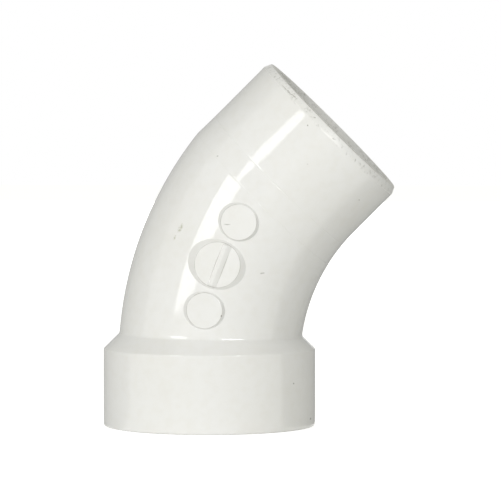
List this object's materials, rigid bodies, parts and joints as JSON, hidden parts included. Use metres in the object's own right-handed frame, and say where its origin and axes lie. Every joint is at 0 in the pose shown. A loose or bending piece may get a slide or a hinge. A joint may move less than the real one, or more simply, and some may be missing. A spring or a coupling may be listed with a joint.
{
  "type": "street elbow",
  "caption": "White PVC drain fitting that turns a pipe line by 45 degrees, with a glue socket at one end and a bevelled spigot of pipe size at the other.",
  "frame": {"origin": "on the surface that the fitting stands on, its socket mouth down, at the middle of its length and width", "axes": "+Z along the socket's axis, away from its mouth; +X is the side that the spigot leans to; the gate side faces -Y"},
  "size_m": [0.0782, 0.057, 0.0972],
  "materials": {
    "white_pvc": "glossy moulded PVC, slightly warm white"
  },
  "bodies": {
    "root": {"socket_hub": "white_pvc", "bend": "white_pvc", "spigot_collar": "white_pvc", "spigot": "white_pvc", "lower_ejector_pad": "white_pvc", "gate_pad": "white_pvc", "gate_bar": "white_pvc", "upper_ejector_pad": "white_pvc"}
  },
  "joints": []
}
